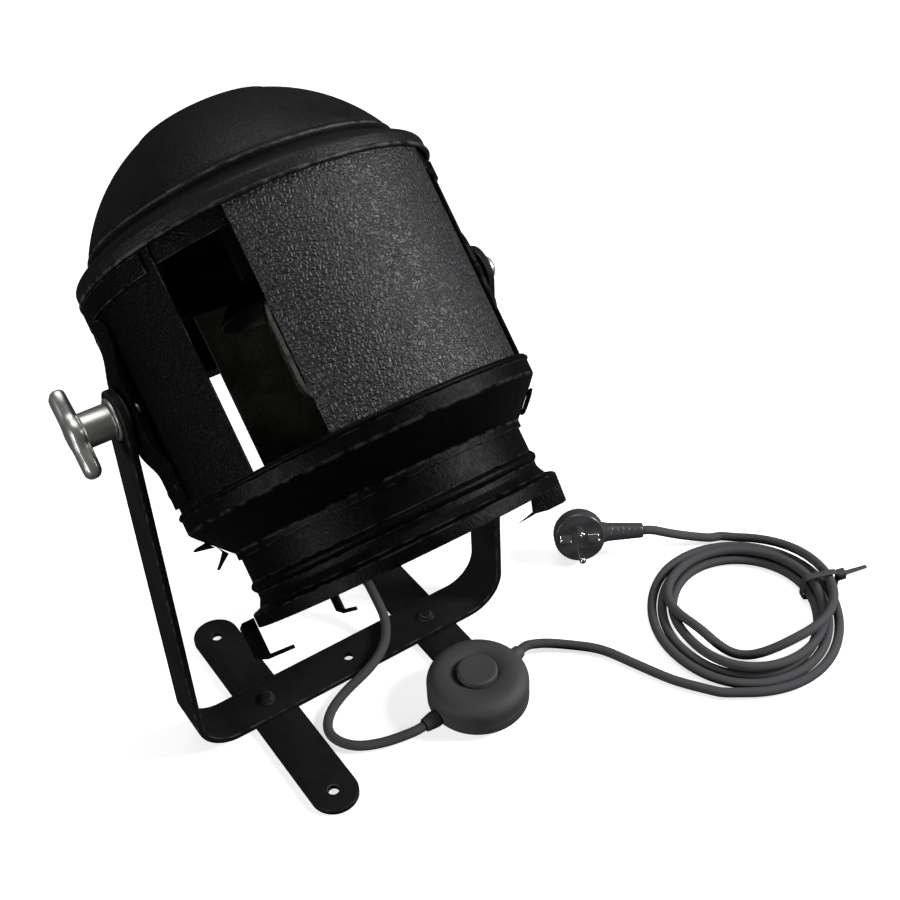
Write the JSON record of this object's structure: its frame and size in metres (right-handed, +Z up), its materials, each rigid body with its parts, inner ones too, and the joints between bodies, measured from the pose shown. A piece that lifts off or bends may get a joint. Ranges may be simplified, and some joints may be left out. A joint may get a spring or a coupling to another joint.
{
  "type": "theatre spotlight",
  "caption": "Vintage theatre spotlight with a domed black head tilting in a flat bar yoke, foot switch, coiled lead and plug.",
  "frame": {"origin": "point on the floor midway between the two feet, under the middle of the yoke's base bar and of the tilt axis", "axes": "+Z up, +X along the tilt axis away from the hand knob, -Y towards the side that the lens faces"},
  "size_m": [0.4604, 0.3157, 0.3862],
  "materials": {
    "black_wrinkle_paint": "black wrinkle paint, slightly bluish, lightly scratched",
    "black_stand_paint": "satin black paint on flat bar",
    "dusty_inner_paint": "dull dark paint with settled dust",
    "cast_aluminium": "tumbled light casting",
    "dull_steel": "dull plated steel",
    "dark_fibre": "pressed fibre washer",
    "reflector_metal": "polished spun mirror",
    "holder_ceramic": "glazed heat-proof holder",
    "cap_brass": "plain brass",
    "clear_glass": "clear glass",
    "switch_plastic": "satin black plastic",
    "cord_sheath": "black flexible sheath",
    "plug_plastic": "moulded black plug",
    "nickel_pins": "bright nickel plate",
    "tie_plastic": "black nylon strap"
  },
  "bodies": {
    "stand": {"yoke": "black_stand_paint", "left_foot": "black_stand_paint", "right_foot": "black_stand_paint", "left_foot_rivet": "black_stand_paint", "right_foot_rivet": "black_stand_paint", "knob_washer": "dull_steel", "nut_washer": "dull_steel", "switch_base": "switch_plastic", "switch_cover": "switch_plastic", "switch_inlet_sleeve": "switch_plastic", "switch_outlet_sleeve": "switch_plastic", "lamp_lead": "cord_sheath", "switch_lead": "cord_sheath", "cord_coil": "cord_sheath", "plug_lead": "cord_sheath", "cable_tie": "tie_plastic", "plug_body": "plug_plastic", "plug_pin_upper": "nickel_pins", "plug_pin_lower": "nickel_pins", "earth_contact_outer": "nickel_pins", "earth_contact_inner": "nickel_pins"},
    "head": {"rear_cap": "black_wrinkle_paint", "rear_hoop": "black_wrinkle_paint", "top_panel": "black_wrinkle_paint", "bottom_panel": "dusty_inner_paint", "left_cheek": "black_wrinkle_paint", "right_cheek": "black_wrinkle_paint", "left_doubler": "black_wrinkle_paint", "right_doubler": "black_wrinkle_paint", "left_pivot_strap": "black_wrinkle_paint", "right_pivot_strap": "black_wrinkle_paint", "left_pivot_stud": "dull_steel", "right_pivot_stud": "dull_steel", "left_friction_washer": "dark_fibre", "right_friction_washer": "dark_fibre", "dome_nut": "dull_steel", "front_ring": "black_wrinkle_paint", "front_tube": "black_wrinkle_paint", "lens": "clear_glass", "lens_rear_ring": "dull_steel", "lens_front_ring": "dull_steel", "left_frame_hook": "black_wrinkle_paint", "right_frame_hook": "black_wrinkle_paint", "lower_frame_hook": "black_wrinkle_paint", "rear_catch_tongue": "black_wrinkle_paint", "front_catch_tongue": "black_wrinkle_paint", "latch_lug": "black_wrinkle_paint", "holder_bracket": "dull_steel", "lamp_holder": "holder_ceramic", "reflector": "reflector_metal", "bulb_cap": "cap_brass", "bulb_glass": "clear_glass", "terminal_box": "black_wrinkle_paint", "cord_gland": "switch_plastic"},
    "knob": {"hand_knob": "cast_aluminium"},
    "button": {"switch_button": "switch_plastic"}
  },
  "joints": [
    {"name": "head_tilt", "type": "hinge", "parent": "stand", "child": "head", "pos_m": [0, 0, 0.2601], "axis": [1, 0, 0], "range_deg": [-90, 45], "deforming": ["lamp_lead"]},
    {"name": "knob_turn", "type": "hinge", "parent": "head", "child": "knob", "pos_m": [-0.12, 0, 0.2601], "axis": [-1, 0, 0], "range_deg": [0, 360]},
    {"name": "button_press", "type": "slide", "parent": "stand", "child": "button", "axis": [0, 0, -1], "range_m": [0, 0.0025], "stiffness_N_per_m": 600, "springref_m": -0.0015}
  ]
}
